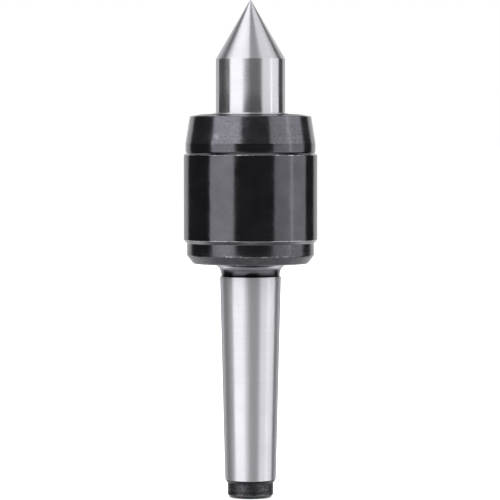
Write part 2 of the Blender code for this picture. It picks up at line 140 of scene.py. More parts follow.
# Brightness by height, as the sine of the angle above the level.
upward_gain = ((-1.0, 1.0), (0.0, 1.0), (0.31, 1.5), (0.55, 1.1), (1.0, 1.0))
floor_light = ((-1.0, 0.5), (-0.96, 0.5), (-0.83, 0.62), (-0.7, 0.85), (-0.5, 1.5), (0.0, 1.6))
# The floor behind the object, the ceiling, what dull surfaces gather, and the sweep itself.
rear_floor_light = 1.9
overhead_light = 0.85
room_light = 1.5
backdrop_light = 1.0

world = bpy.data.worlds.new("studio")
bpy.context.scene.world = world
world.use_nodes = True
sky = world.node_tree
sky.nodes.clear()
sky_place = node(sky, "ShaderNodeTexCoord").outputs["Generated"]
toward_x, toward_y, toward_z = node(sky, "ShaderNodeSeparateXYZ", {0: sky_place}).outputs
bearing = maths(sky, "ARCTAN2", toward_x, maths(sky, "MULTIPLY", toward_y, -1.0))
bearing = maths(sky, "MULTIPLY", bearing, 180.0 / math.pi)
# The inner edges of the soft boxes lean in over the object, the left one twice as far.
lean = mixed(sky, between(sky, bearing, -5.0, 5.0), -40.0, 20.0)
lean = maths(sky, "MULTIPLY", lean, maths(sky, "ABSOLUTE", toward_z))
inner = between(sky, maths(sky, "ABSOLUTE", bearing), 70.0, 45.0)
leaning = maths(sky, "ADD", bearing, maths(sky, "MULTIPLY", lean, inner))
boxes = mixed(
    sky,
    between(sky, toward_z, 0.3, 0.46),
    light_ramp(sky, leaning, -180.0, 180.0, level_light),
    light_ramp(sky, bearing, -180.0, 180.0, raised_light),
)
boxes = maths(sky, "MULTIPLY", boxes, light_ramp(sky, toward_z, -1.0, 1.0, upward_gain))
below = light_ramp(sky, toward_z, -1.0, 0.0, floor_light)
behind = maths(sky, "SUBTRACT", toward_y, maths(sky, "ABSOLUTE", toward_x))
below = mixed(sky, between(sky, behind, -0.12, 0.25), below, rear_floor_light)
seen = mixed(sky, between(sky, toward_z, -0.4, -0.75), boxes, below)
seen = mixed(sky, between(sky, toward_z, 0.9, 0.98), seen, overhead_light)
paths = node(sky, "ShaderNodeLightPath")
brightness = mixed(sky, paths.outputs["Is Glossy Ray"], room_light, seen)
brightness = mixed(sky, paths.outputs["Is Camera Ray"], brightness, backdrop_light)
backdrop = node(sky, "ShaderNodeBackground", {"Color": (1.0, 1.0, 1.0, 1.0), "Strength": brightness})
node(sky, "ShaderNodeOutputWorld", {"Surface": backdrop.outputs[0]})

floor_half = 30.0
floor_z = cad_low.z - 0.02 * MM
floor_signs = ((-1, -1), (1, -1), (1, 1), (-1, 1))
floor_mesh = bpy.data.meshes.new("floor")
floor_corners = [(x * floor_half, y * floor_half, floor_z) for x, y in floor_signs]
floor_mesh.from_pydata(floor_corners, [], [(0, 1, 2, 3)])
floor = bpy.data.objects.new("floor", floor_mesh)
bpy.context.scene.collection.objects.link(floor)
floor_paint = bpy.data.materials.new("pale_floor")
floor_paint.use_nodes = True
floor_shader = floor_paint.node_tree.nodes["Principled BSDF"]
floor_shader.inputs["Base Color"].default_value = (0.93, 0.93, 0.93, 1.0)
floor_shader.inputs["Roughness"].default_value = 0.9
floor_shader.inputs["Emission Color"].default_value = (1.0, 1.0, 1.0, 1.0)
floor_shader.inputs["Emission Strength"].default_value = 0.35
floor_mesh.materials.append(floor_paint)
floor.visible_glossy = False


# ---------------------------------------------------------------- housing: head and neck
# One steel turning carries everything else. Its head is bored in steps for the three bearings,
# threaded at the mouth for the cap, and blackened outside down to the step where the taper starts.
def rounded_outline(corners, closed):
    """The outline through the corners (radius, height, fillet, wear), each corner replaced by an arc.

    An arc starts and ends fillet * tan(turn / 2) from its corner. Short straights next to each arc
    keep its shading off the long straights. Gives rows of (radius, height, run, wear): run is the
    distance along the outline, wear is the corner's own on its arc (0 if left out) and 0 between.
    """
    corner = np.array([(*given, 0.0)[:4] for given in corners])
    place, fillet, wear = corner[:, :2], corner[:, 2], corner[:, 3]
    count = len(place)
    rows = []
    for i in range(count):
        if not closed and i in (0, count - 1):
            rows.append([(*place[i], 0.0)])
            continue
        ahead = place[(i + 1) % count] - place[i]
        behind = place[i] - place[i - 1]
        ahead, behind = ahead / np.hypot(*ahead), behind / np.hypot(*behind)
        turn = math.atan2(behind[0] * ahead[1] - behind[1] * ahead[0], behind @ ahead)
        start = place[i] - behind * fillet[i] * math.tan(abs(turn) / 2)
        side = math.copysign(1.0, turn)
        centre = start + side * fillet[i] * np.array((-behind[1], behind[0]))
        steps = max(3, math.ceil(abs(turn) / math.radians(12.0)))
        t = np.linspace(0.0, turn, steps + 1)
        spoke = start - centre
        x = centre[0] + spoke[0] * np.cos(t) - spoke[1] * np.sin(t)
        y = centre[1] + spoke[0] * np.sin(t) + spoke[1] * np.cos(t)
        rows.append([(a, b, wear[i]) for a, b in zip(x, y)])
    outline = []
    for i, arc in enumerate(rows):
        outline += arc
        if not closed and i == count - 1:
            break
        a, b = np.array(arc[-1][:2]), np.array(rows[(i + 1) % count][0][:2])
        gap = np.hypot(*(b - a))
        support = min(0.12 * MM, gap / 4)
        if gap > 0.02 * MM:
            along = (b - a) / gap
            outline.append((*(a + along * support), 0.0))
            outline.append((*(b - along * support), 0.0))
    outline = np.array(outline)
    run = np.concatenate(([0.0], np.cumsum(np.hypot(*np.diff(outline[:, :2], axis=0).T))))
    return np.column_stack((outline[:, :2], run, outline[:, 2]))


def turned(name, outline, sides):
    """Carries an outline once round Z.

    Point (j, i) is (r_j cos a_i, r_j sin a_i, z_j), where a_i = 2 pi i / sides. The outline runs
    with the metal on its left. One that starts and ends on the axis closes there in a single point
    at each end; any other one joins its last point to its first.
    """
    outline = np.asarray(outline, float)
    poles = outline[0, 0] < 1e-9
    ring = outline[1:-1] if poles else outline
    count = len(ring)
    angle = np.arange(sides) * 2 * math.pi / sides
    points = np.stack(
        (
            np.outer(ring[:, 0], np.cos(angle)),
            np.outer(ring[:, 0], np.sin(angle)),
            np.repeat(ring[:, 1:2], sides, axis=1),
        ),
        axis=-1,
    ).reshape(-1, 3)
    runs, wears = np.repeat(ring[:, 2], sides), np.repeat(ring[:, 3], sides)
    low = np.arange(count - 1 if poles else count)[:, None] * sides
    high = (low + sides) % (count * sides)
    i = np.arange(sides)[None, :]
    j = (i + 1) % sides
    faces = np.stack((low + i, low + j, high + j, high + i), axis=-1).reshape(-1, 4).tolist()
    if poles:
        first, last = count * sides, count * sides + 1
        points = np.vstack((points, (0.0, 0.0, outline[0, 1]), (0.0, 0.0, outline[-1, 1])))
        runs = np.append(runs, (outline[0, 2], outline[-1, 2]))
        wears = np.append(wears, (0.0, 0.0))
        top = (count - 1) * sides
        i, j = i[0], j[0]
        faces += np.stack((np.full(sides, first), j, i), axis=-1).tolist()
        faces += np.stack((top + i, top + j, np.full(sides, last)), axis=-1).tolist()
    mesh = bpy.data.meshes.new(name)
    mesh.from_pydata(points.tolist(), [], faces)
    for label, values in (("run", runs), ("wear", wears)):
        mesh.attributes.new(label, "FLOAT", "POINT").data.foreach_set("value", values)
    mesh.shade_smooth()
    piece = bpy.data.objects.new(name, mesh)
    bpy.context.scene.collection.objects.link(piece)
    return piece


def shader_group(name, inputs, outputs):
    """A shader node group with float inputs (name, default) and float outputs; its ends come back too."""
    group = bpy.data.node_groups.new(name, "ShaderNodeTree")
    for label, default in inputs:
        socket = group.interface.new_socket(name=label, in_out="INPUT", socket_type="NodeSocketFloat")
        socket.default_value = default
    for label in outputs:
        group.interface.new_socket(name=label, in_out="OUTPUT", socket_type="NodeSocketFloat")
    return group, group.nodes.new("NodeGroupInput"), group.nodes.new("NodeGroupOutput")


def surface_place(tree, around, along):
    """A place on a turned surface: X and Y as they are, times around, and the run times along."""
    place = node(tree, "ShaderNodeTexCoord").outputs["Object"]
    x, y, _ = node(tree, "ShaderNodeSeparateXYZ", {0: place}).outputs
    run = node(tree, "ShaderNodeAttribute", attribute_name="run").outputs["Fac"]
    inputs = {
        0: maths(tree, "MULTIPLY", x, around),
        1: maths(tree, "MULTIPLY", y, around),
        2: maths(tree, "MULTIPLY", run, along),
    }
    return node(tree, "ShaderNodeCombineXYZ", inputs).outputs[0]


# Tool lines: noise drawn out round the axis, as turning and grinding leave them.
lines_group, lines_in, lines_out = shader_group(
    "tool_lines", (("Around", 60.0), ("Along", 4000.0), ("Contrast", 1.0)), ("Lines",)
)
lines_noise = node(
    lines_group,
    "ShaderNodeTexNoise",
    {
        "Vector": surface_place(lines_group, lines_in.outputs["Around"], lines_in.outputs["Along"]),
        "Scale": 1.0,
        "Detail": 3.0,
        "Roughness": 0.6,
    },
)
lines_centred = maths(lines_group, "SUBTRACT", lines_noise.outputs[0], 0.5)
lines_scaled = maths(lines_group, "MULTIPLY", lines_centred, lines_in.outputs["Contrast"])
lines_group.links.new(maths(lines_group, "ADD", lines_scaled, 0.5, clamp=True), lines_out.inputs["Lines"])

# Worn corners: metal rubbed bright where the corner's wear is above a noise of 0.3 to 0.7.
wear_group, wear_in, wear_out = shader_group("worn_corners", (("Grain", 900.0),), ("Wear",))
wear_noise = node(
    wear_group,
    "ShaderNodeTexNoise",
    {
        "Vector": node(wear_group, "ShaderNodeTexCoord").outputs["Object"],
        "Scale": wear_in.outputs["Grain"],
        "Detail": 4.0,
        "Roughness": 0.6,
    },
)
wear_corner = node(wear_group, "ShaderNodeAttribute", attribute_name="wear").outputs["Fac"]
wear_over = maths(wear_group, "SUBTRACT", wear_corner, wear_noise.outputs[0])
wear_group.links.new(maths(wear_group, "MULTIPLY", wear_over, 5.0, clamp=True), wear_out.inputs["Wear"])

# Clouding: slow patches of thicker and thinner oxide or oil.
cloud_group, cloud_in, cloud_out = shader_group("clouding", (("Size", 250.0), ("Fine", 0.5)), ("Cloud",))
cloud_noise = node(
    cloud_group,
    "ShaderNodeTexNoise",
    {
        "Vector": node(cloud_group, "ShaderNodeTexCoord").outputs["Object"],
        "Scale": cloud_in.outputs["Size"],
        "Detail": 5.0,
        "Roughness": cloud_in.outputs["Fine"],
    },
)
cloud_group.links.new(between(cloud_group, cloud_noise.outputs[0], 0.3, 0.7), cloud_out.inputs["Cloud"])

# Scuffs: short faint scratches inside a small ball of space round (X, Y, Z).
scuff_group, scuff_in, scuff_out = shader_group(
    "scuffs", (("X", 0.0), ("Y", 0.0), ("Z", 0.0), ("Reach", 0.002)), ("Scuff",)
)
scuff_place = node(scuff_group, "ShaderNodeTexCoord").outputs["Object"]
scuff_xyz = {k: scuff_in.outputs[k] for k in range(3)}
scuff_centre = node(scuff_group, "ShaderNodeCombineXYZ", scuff_xyz).outputs[0]
scuff_away = node(
    scuff_group, "ShaderNodeVectorMath", {0: scuff_place, 1: scuff_centre}, operation="DISTANCE"
).outputs["Value"]
scuff_share = maths(scuff_group, "DIVIDE", scuff_away, scuff_in.outputs["Reach"])
scuff_near = maths(scuff_group, "SUBTRACT", 1.0, scuff_share, clamp=True)
scuff_rates = (5200.0, 5200.0, 1400.0)
scuff_drawn = node(
    scuff_group, "ShaderNodeVectorMath", {0: scuff_place, 1: scuff_rates}, operation="MULTIPLY"
).outputs[0]
scuff_noise = node(
    scuff_group,
    "ShaderNodeTexNoise",
    {
        "Vector": scuff_drawn,
        "Scale": 1.0,
        "Detail": 3.0,
        "Roughness": 0.6,
    },
).outputs[0]
scuff_over = maths(scuff_group, "ADD", maths(scuff_group, "MULTIPLY", scuff_near, 0.5), scuff_noise)
scuff_over = maths(scuff_group, "SUBTRACT", scuff_over, 0.8)
scuff_over = maths(scuff_group, "MULTIPLY", scuff_over, 6.0, clamp=True)
scuff_faint = maths(scuff_group, "MULTIPLY", scuff_over, scuff_near)
scuff_faint = maths(scuff_group, "MULTIPLY", scuff_faint, 0.35)
scuff_group.links.new(scuff_faint, scuff_out.inputs["Scuff"])


def use_group(tree, group, **values):
    """Places a group in a material and sets its inputs."""
    placed = node(tree, "ShaderNodeGroup", node_tree=group)
    for label, value in values.items():
        placed.inputs[label].default_value = value
    return placed.outputs[0]


def blend_colours(tree, factor, a, b):
    """Colour a where the factor is 0, b where it is 1."""
    return node(tree, "ShaderNodeMix", {0: factor, 6: a, 7: b}, data_type="RGBA").outputs[2]


def bumped(tree, height, depth, normal=None):
    """A normal for a height of 0 to 1 that is depth metres deep."""
    inputs = {"Height": height, "Distance": depth}
    if normal is not None:
        inputs["Normal"] = normal
    return node(tree, "ShaderNodeBump", inputs).outputs[0]


def metal(name, colour):
    """A metallic material with its tree and shader."""
    material = bpy.data.materials.new(name)
    material.use_nodes = True
    shader = material.node_tree.nodes["Principled BSDF"]
    shader.inputs["Base Color"].default_value = (*colour, 1.0)
    shader.inputs["Metallic"].default_value = 1.0
    return material, material.node_tree, shader


def by_height(tree, stops):
    """A value that follows the height on the piece, straight between stops of (height, value)."""
    place = node(tree, "ShaderNodeSeparateXYZ", {0: node(tree, "ShaderNodeTexCoord").outputs["Object"]})
    return light_ramp(tree, place.outputs[2], stops[0][0], stops[-1][0], stops)


def connect(tree, shader, **sockets):
    """Links values to the shader's sockets, named with underscores for spaces."""
    for label, socket in sockets.items():
        tree.links.new(socket, shader.inputs[label.replace("_", " ")])


def blackened_steel(name, depth, gloss, mottle, line_depth, bands, line_rate=3000.0, scuffs=()):
    """Steel under a thin, oiled black oxide: dark, with tool lines and bright rubbed corners.

    depth is how much of the light it reflects, gloss the roughness of its smoothest patches, mottle
    how far fine spots and lines vary its brightness. bands gives stops of (height, brightness,
    roughness, mottle) on top of those, for stretches where the oxide is lighter, darker or duller,
    and for painted shade, painted highlights and painted reflections.
    line_rate is the tool lines' number per metre, and scuffs gives places as (x, y, z, reach).
    """
    material, tree, shader = metal(name, (depth, depth, depth))
    cloud = use_group(tree, cloud_group, Size=160.0, Fine=0.55)
    lines = use_group(tree, lines_group, Around=40.0, Along=line_rate, Contrast=1.8)
    spots = use_group(tree, cloud_group, Size=1500.0, Fine=0.6)
    rough = maths(tree, "ADD", maths(tree, "MULTIPLY", cloud, 0.06), gloss)
    rough = maths(tree, "ADD", rough, maths(tree, "MULTIPLY", lines, 0.05))
    tone = maths(tree, "ADD", maths(tree, "MULTIPLY", cloud, 0.2), 0.9)
    band_tone, band_rough, band_mottle = [
        by_height(tree, [(band[0], band[k]) for band in bands]) for k in (1, 2, 3)
    ]
    tone = maths(tree, "MULTIPLY", tone, band_tone)
    rough = maths(tree, "ADD", rough, band_rough)
    mottle = maths(tree, "ADD", band_mottle, mottle)
    grain = maths(tree, "SUBTRACT", maths(tree, "ADD", spots, lines), 1.0)
    mottled = maths(tree, "ADD", maths(tree, "MULTIPLY", grain, mottle), 1.0)
    tone = maths(tree, "MULTIPLY", tone, mottled)
    black = (depth, 0.985 * depth, 1.12 * depth)
    oxide = node(tree, "ShaderNodeVectorMath", {0: black, 1: tone}, operation="MULTIPLY").outputs[0]
    wear = use_group(tree, wear_group, Grain=600.0)
    for x, y, z, reach in scuffs:
        wear = maths(tree, "MAXIMUM", wear, use_group(tree, scuff_group, X=x, Y=y, Z=z, Reach=reach))
    colour = blend_colours(tree, wear, oxide, (0.5, 0.5, 0.52, 1.0))
    wavy = use_group(tree, cloud_group, Size=110.0, Fine=0.3)
    rippled = use_group(tree, cloud_group, Size=700.0, Fine=0.5)
    normal = bumped(tree, rippled, 5.0e-6, bumped(tree, wavy, 12.0e-6))
    normal = bumped(tree, lines, line_depth, normal)
    connect(tree, shader, Base_Color=colour, Roughness=rough, Normal=normal)
    return material


head_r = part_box("housing_shank")[1].x
mouth_z = 41.45 * MM
mouth_chamfer = 0.6 * MM
body_low_z = 15.85 * MM
rear_ring_r = 18.8 * MM
rear_ring_low_z = 11.3 * MM
rear_ring_high_z = 14.8 * MM
back_r = 16.85 * MM
back_z = 8.75 * MM
neck_z = 5.0 * MM
neck_r = 8.65 * MM
neck_fillet = 3.2 * MM
relief_r = 5.3 * MM
seat_gap = 0.3 * MM
press_gap = 0.2 * MM
front_seat_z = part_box("front_outer_ring")[0].z - seat_gap
front_seat_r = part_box("front_outer_ring")[1].x + seat_gap
thrust_seat_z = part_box("thrust_housing_washer")[0].z - seat_gap
thrust_seat_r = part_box("thrust_housing_washer")[1].x + seat_gap
cup_seat_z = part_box("needle_cup")[0].z - seat_gap
cup_seat_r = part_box("needle_cup")[1].x + press_gap
thread_r = 17.5 * MM
thread_low_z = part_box("front_outer_ring")[1].z

head_corners = (
    (relief_r, neck_z, 0.05 * MM),
    (neck_r, neck_z, 0.05 * MM),
    (neck_r, back_z, neck_fillet),
    (back_r, back_z, 1.0 * MM),
    (rear_ring_r, rear_ring_low_z, 0.8 * MM, 0.48),
    (rear_ring_r, rear_ring_high_z, 0.15 * MM),
    (head_r, body_low_z, 0.2 * MM, 0.7),
    (head_r, mouth_z - mouth_chamfer, 0.25 * MM, 0.55),
    (head_r - mouth_chamfer, mouth_z, 0.15 * MM, 0.3),
    (thread_r, mouth_z, 0.1 * MM),
    (thread_r, thread_low_z, 0.1 * MM),
    (front_seat_r, thread_low_z, 0.1 * MM),
    (front_seat_r, front_seat_z, 0.1 * MM),
    (thrust_seat_r, front_seat_z, 0.1 * MM),
    (thrust_seat_r, thrust_seat_z, 0.1 * MM),
    (cup_seat_r, thrust_seat_z, 0.1 * MM),
    (cup_seat_r, cup_seat_z, 0.1 * MM),
    (relief_r, cup_seat_z, 0.1 * MM),
)
housing_head = turned("housing_head", rounded_outline(head_corners, True), 240)
# The neck's foot, just above the taper, is darkened to near black as painted shade in the crease, the
# fillet above it lightens upwards into a bright band of painted reflection, and the rear ring is duller
# than the body of the head.
housing_bands_with_painted_light = (
    (neck_z, 0.08, 0.1, 0.0),
    (5.5 * MM, 0.08, 0.1, 0.0),
    (5.75 * MM, 0.5, 0.1, 0.0),
    (6.1 * MM, 0.6, 0.1, 0.0),
    (6.35 * MM, 1.0, 0.12, 0.0),
    (7.15 * MM, 1.2, 0.12, 0.0),
    (7.4 * MM, 2.8, 0.12, 0.0),
    (8.5 * MM, 2.9, 0.1, 0.0),
    (back_z, 1.0, 0.15, 0.25),
    (rear_ring_high_z, 1.0, 0.05, 0.25),
    (16.0 * MM, 1.0, 0.0, 0.0),
    (mouth_z, 1.0, 0.0, 0.0),
)
housing_black = blackened_steel("blackened_housing", 0.125, 0.07, 0.05, 0.8e-6, housing_bands_with_painted_light)
housing_head.data.materials.append(housing_black)
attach(housing_head, "housing")
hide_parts("housing_shank")


# ---------------------------------------------------------------- housing: ground taper
# The same turning's shank, ground to the taper and left bright; the stone leaves fine lines round it.
gauge_r = 17.78 / 2 * MM
taper_slope = 0.04995 / 2
taper_low_z = -55.1 * MM
taper_low_r = gauge_r + taper_slope * taper_low_z
join = 0.005 * MM
relief_low_z = 2.5 * MM
drill_half_angle = math.radians(59.0)


def ground_steel(name, colour, metallic, edge, roughness, line_depth):
    """Hardened steel off the grinding wheel: bright, and blurred along the axis by its fine lines.

    metallic under 1 leaves some light scattered all ways by the lines, edge is how much the rim
    reflects, and roughness gives stops of (height, roughness).
    """
    material, tree, shader = metal(name, colour)
    shader.inputs["Metallic"].default_value = metallic
    shader.inputs["Specular Tint"].default_value = (edge, edge, edge, 1.0)
    shader.inputs["Anisotropic"].default_value = 1.0
    shader.inputs["Anisotropic Rotation"].default_value = 0.25
    tangent = node(tree, "ShaderNodeTangent", direction_type="RADIAL", axis="Z")
    fine = use_group(tree, lines_group, Around=5.0, Along=9000.0, Contrast=1.5)
    broad = use_group(tree, lines_group, Around=4.0, Along=700.0, Contrast=1.2)
    cloud = use_group(tree, cloud_group, Size=130.0, Fine=0.5)
    dark = tuple(0.9 * c for c in colour)
    tone = blend_colours(tree, broad, (*dark, 1.0), (*colour, 1.0))
    rough = maths(tree, "ADD", maths(tree, "MULTIPLY", cloud, 0.05), by_height(tree, roughness))
    rough = maths(tree, "ADD", rough, maths(tree, "MULTIPLY", fine, 0.04))
    normal = bumped(tree, fine, line_depth)
    connect(tree, shader, Base_Color=tone, Roughness=rough, Normal=normal, Tangent=tangent.outputs[0])
    return material


taper_corners = (
    (0.0, taper_low_z + join, 0.0),
    (taper_low_r, taper_low_z + join, 0.08 * MM),
    (gauge_r + taper_slope * neck_z, neck_z - join, 0.12 * MM),
    (relief_r, neck_z - join, 0.05 * MM),
    (relief_r, relief_low_z, 0.1 * MM),
    (0.0, relief_low_z - relief_r / math.tan(drill_half_angle), 0.0),
)
shank_taper = turned("shank_taper", rounded_outline(taper_corners, False), 192)
taper_grind = ((taper_low_z, 0.35), (neck_z, 0.35))
taper_steel = ground_steel("ground_taper", (0.79, 0.788, 0.838), 0.9, 0.3, taper_grind, 3.0e-6)
shank_taper.data.materials.append(taper_steel)
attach(shank_taper, "housing")
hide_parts("housing_shank")


# ---------------------------------------------------------------- housing: tail
# The shank steps down over a chamfer to a short turned tail in place of a tang. Both were blackened
# with the head and never ground, so tool rings show; the ejecting screw bears on the end face.
tail_ring_pitch = 0.42 * MM
tail_ring_depth = 0.04 * MM
tail_z = -56.05 * MM
tail_r = 6.75 * MM
tail_end_z = cad_low.z
tail_chamfer = 0.9 * MM
hole_half_angle = math.radians(30.0)
hole_r = 3.0 * MM
pilot_r = 1.25 * MM
pilot_z = tail_end_z + 6.5 * MM

ring_low_z = tail_end_z + 1.3 * MM
ring_high_z = tail_z - 0.2 * MM
ring_z = np.arange(ring_low_z, ring_high_z, tail_ring_pitch)
tail_rings = [(tail_r - (i % 2) * tail_ring_depth, z, 0.02 * MM) for i, z in enumerate(ring_z)]
tail_corners = (
    (0.0, pilot_z, 0.0),
    (pilot_r, pilot_z, 0.1 * MM),
    (pilot_r, tail_end_z + (hole_r - pilot_r) / math.tan(hole_half_angle), 0.1 * MM),
    (hole_r, tail_end_z, 0.1 * MM),
    (tail_r - tail_chamfer, tail_end_z, 0.2 * MM),
    (tail_r, tail_end_z + tail_chamfer, 0.25 * MM),
    *tail_rings,
    (tail_r, tail_z, 0.1 * MM),
    (taper_low_r, taper_low_z, 0.05 * MM),
    (0.0, taper_low_z, 0.0),
)
shank_tail = turned("shank_tail", rounded_outline(tail_corners, False), 160)
# The end chamfer is darkened below the wall as painted shade, a bright line along its upper edge is a
# painted highlight, and the step up to the taper darkens towards the top.
tail_bands_with_painted_light = (
    (tail_end_z, 0.35, 0.0, 0.0),
    (tail_end_z + 0.8 * MM, 0.35, 0.0, 0.0),
    (tail_end_z + tail_chamfer, 1.7, 0.0, 0.3),
    (tail_end_z + 1.1 * MM, 1.7, 0.0, 0.3),
    (tail_end_z + 1.25 * MM, 0.9, 0.0, 0.0),
    (tail_z, 0.9, 0.0, 0.0),
    (taper_low_z, 0.6, 0.0, 0.0),
)
tail_black = blackened_steel("blackened_tail", 0.085, 0.38, 0.9, 12.0e-6, tail_bands_with_painted_light, line_rate=1300.0)
shank_tail.data.materials.append(tail_black)
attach(shank_tail, "housing")
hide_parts("housing_shank")


# ---------------------------------------------------------------- rear needle bearing
# A drawn cup of thin hardened sheet, pressed into the housing behind the other bearings. Its ends
# are turned in over a sheet cage that spaces the needles, which run straight on the spindle's tail.
def ring_corners(bore_r, outer_r, low_z, high_z, fillet):
    """The four corners of a plain ring, from the bore's lower edge outwards and up."""
    return (
        (bore_r, low_z, fillet),
        (outer_r, low_z, fillet),
        (outer_r, high_z, fillet),
        (bore_r, high_z, fillet),
    )


def pressed_metal(name, colour, roughness, grain_depth):
    """Pressed or cast metal: a fine even grain under slow changes in colour and dullness."""
    material, tree, shader = metal(name, colour)
    cloud = use_group(tree, cloud_group, Size=350.0, Fine=0.5)
    grain = use_group(tree, cloud_group, Size=4000.0, Fine=0.6)
    dull = tuple(0.78 * c for c in colour)
    tone = blend_colours(tree, cloud, (*dull, 1.0), (*colour, 1.0))
    rough = maths(tree, "ADD", maths(tree, "MULTIPLY", cloud, 0.1), roughness)
    rough = maths(tree, "ADD", rough, maths(tree, "MULTIPLY", grain, 0.06))
    connect(tree, shader, Base_Color=tone, Roughness=rough, Normal=bumped(tree, grain, grain_depth))
    return material


def polished_steel(name, colour, roughness):
    """Through-hardened bearing steel, lapped nearly to a mirror, with the last faint lines left."""
    material, tree, shader = metal(name, colour)
    cloud = use_group(tree, cloud_group, Size=300.0, Fine=0.4)
    lines = use_group(tree, lines_group, Around=40.0, Along=6000.0, Contrast=1.2)
    dull = tuple(0.9 * c for c in colour)
    tone = blend_colours(tree, lines, (*dull, 1.0), (*colour, 1.0))
    rough = maths(tree, "ADD", maths(tree, "MULTIPLY", cloud, 0.05), roughness)
    rough = maths(tree, "ADD", rough, maths(tree, "MULTIPLY", lines, 0.04))
    connect(tree, shader, Base_Color=tone, Roughness=rough, Normal=bumped(tree, lines, 0.5e-6))
    return material


def fitted(piece, material, body, cad_node):
    """Gives a piece its material and body, and lets it stand for its CAD node."""
    piece.data.materials.append(material)
    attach(piece, body)
    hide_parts(cad_node)


def set_rolling(cad_node, outline, sides, material):
    """A ball or needle: its outline turned about Z, then moved to the middle of its CAD node."""
    low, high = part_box(cad_node)
    rolling = turned(cad_node + "_turned", outline, sides)
    rolling.data.transform(Matrix.Translation((low + high) / 2))
    fitted(rolling, material, cad_node, cad_node)


bearing_steel = polished_steel("bearing_steel", (0.74, 0.74, 0.75), 0.12)
sheet_steel = pressed_metal("sheet_steel", (0.5, 0.49, 0.48), 0.3, 2.0e-6)

cup_low, cup_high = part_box("needle_cup")
cup_track_r = 6.5 * MM
cup_lip_r = 5.35 * MM
cup_lip = 0.5 * MM
cup_corners = (
    (cup_lip_r, cup_low.z, 0.15 * MM),
    (cup_high.x, cup_low.z, 0.35 * MM),
    (cup_high.x, cup_high.z, 0.35 * MM),
    (cup_lip_r, cup_high.z, 0.15 * MM),
    (cup_lip_r, cup_high.z - cup_lip, 0.1 * MM),
    (cup_track_r, cup_high.z - cup_lip, 0.1 * MM),
    (cup_track_r, cup_low.z + cup_lip, 0.1 * MM),
    (cup_lip_r, cup_low.z + cup_lip, 0.1 * MM),
)
needle_cup = turned("drawn_cup", rounded_outline(cup_corners, True), 120)
fitted(needle_cup, sheet_steel, "housing", "needle_cup")
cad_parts["needle_cage"].material_slots[0].material = sheet_steel

needle_count = 12
needle_r = 0.68 * MM
needle_half = 3.9 * MM
needle_corners = (
    (0.0, -needle_half, 0.0),
    (needle_r, -needle_half, 0.2 * MM),
    (needle_r, needle_half, 0.2 * MM),
    (0.0, needle_half, 0.0),
)
for number in range(1, needle_count + 1):
    set_rolling(f"needle_{number}", rounded_outline(needle_corners, False), 24, bearing_steel)


# ---------------------------------------------------------------- thrust bearing
# Two hardened washers with a groove ground in each, one on the spindle and one on the housing's
# step, and between them a turned brass cage of balls that carries the push along the axis.
ball_r = 4.762 / 2 * MM
track_r = ball_r + 0.1 * MM


def raceway(centre, face):
    """Three corners of the groove that a row of balls at centre (radius, height) runs in.

    face is the way from the centre straight to the groove's land. The groove's circle crosses the
    land sqrt(track^2 - face^2) to each side, and the tangents there meet track^2 / face out. The
    circle is a little smaller than the track, to leave each lip room for its own small round.
    """
    centre, face = np.array(centre), np.array(face)
    gap = np.hypot(*face)
    across = np.array((-face[1], face[0])) / gap * math.sqrt(track_r**2 - gap**2)
    lip = 0.08 * MM
    return (
        (*(centre + face + across), lip),
        (*(centre + face * (track_r / gap) ** 2), 0.93 * track_r),
        (*(centre + face - across), lip),
    )


# A ball's outline is a half circle from its lower pole to its upper one.
ball_turn = np.linspace(-math.pi / 2, math.pi / 2, 25)
ball_run = ball_r * (ball_turn + math.pi / 2)
ball_wear = 0 * ball_turn
ball_outline = np.column_stack(
    (ball_r * np.cos(ball_turn), ball_r * np.sin(ball_turn), ball_run, ball_wear)
)
ball_outline[[0, -1], 0] = 0.0

thrust_ball_count = 12
thrust_pitch_r = 10.75 * MM
spindle_bore_r = 7.5 * MM
housing_bore_r = 8.1 * MM
shaft_low, shaft_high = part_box("thrust_shaft_washer")
seat_low, seat_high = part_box("thrust_housing_washer")
thrust_mid_z = (seat_low.z + shaft_high.z) / 2
thrust_row = (thrust_pitch_r, thrust_mid_z)
shaft_washer_corners = (
    (spindle_bore_r, shaft_low.z, 0.3 * MM),
    *raceway(thrust_row, (0.0, shaft_low.z - thrust_mid_z)),
    (shaft_high.x, shaft_low.z, 0.3 * MM),
    (shaft_high.x, shaft_high.z, 0.4 * MM),
    (spindle_bore_r, shaft_high.z, 0.4 * MM),
)
shaft_washer = turned("shaft_washer", rounded_outline(shaft_washer_corners, True), 160)
fitted(shaft_washer, bearing_steel, "spindle", "thrust_shaft_washer")

seat_washer_corners = (
    (housing_bore_r, seat_low.z, 0.4 * MM),
    (seat_high.x, seat_low.z, 0.4 * MM),
    (seat_high.x, seat_high.z, 0.3 * MM),
    *raceway(thrust_row, (0.0, seat_high.z - thrust_mid_z)),
    (housing_bore_r, seat_high.z, 0.3 * MM),
)
seat_washer = turned("seat_washer", rounded_outline(seat_washer_corners, True), 160)
fitted(seat_washer, bearing_steel, "housing", "thrust_housing_washer")

cage_brass = pressed_metal("cage_brass", (0.72, 0.52, 0.22), 0.28, 1.5e-6)
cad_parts["thrust_cage"].material_slots[0].material = cage_brass
for number in range(1, thrust_ball_count + 1):
    set_rolling(f"thrust_ball_{number}", ball_outline, 40, bearing_steel)


# ---------------------------------------------------------------- shim
# A flat ring of blue spring steel between the thrust bearing and the front bearing; its thickness
# is chosen on assembly to take up the end play.
shim_low, shim_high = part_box("thrust_shim")
shim_corners = ring_corners(spindle_bore_r, shim_high.x, shim_low.z, shim_high.z, 0.06 * MM)
shim = turned("end_play_shim", rounded_outline(shim_corners, True), 120)
shim_steel = pressed_metal("blue_spring_steel", (0.3, 0.32, 0.4), 0.25, 1.0e-6)
fitted(shim, shim_steel, "spindle", "thrust_shim")


